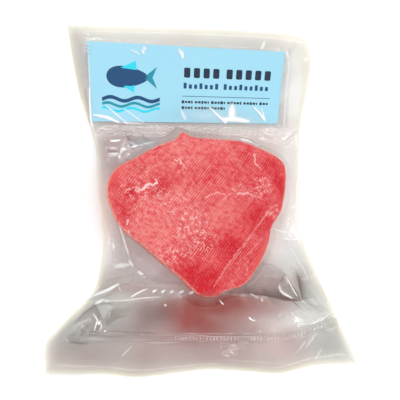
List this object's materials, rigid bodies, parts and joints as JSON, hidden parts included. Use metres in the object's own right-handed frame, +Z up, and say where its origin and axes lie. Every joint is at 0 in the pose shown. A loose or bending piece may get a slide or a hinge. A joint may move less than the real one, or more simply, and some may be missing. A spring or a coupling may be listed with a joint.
{
  "type": "raw tuna steak in a clear vacuum pouch",
  "caption": "Flat raw tuna steak with a rounded triangular outline, sealed in a clear waisted vacuum pouch with a printed card at one end; lies on its back.",
  "frame": {"origin": "middle of the pouch's outline, on the surface that its back web lies on", "axes": "+X to the right across the pouch, +Y towards the end with the printed card, +Z up, out of the side that shows the steak"},
  "size_m": [0.2045, 0.236, 0.0221],
  "materials": {
    "tuna_flesh": null,
    "clear_film": "clear glossy plastic film, slightly grey where it lies double",
    "printed_card": "light blue printed card with a smooth finish"
  },
  "bodies": {
    "root": {"tuna_steak": "tuna_flesh", "pouch_film": "clear_film", "label_card": "printed_card"}
  },
  "joints": []
}
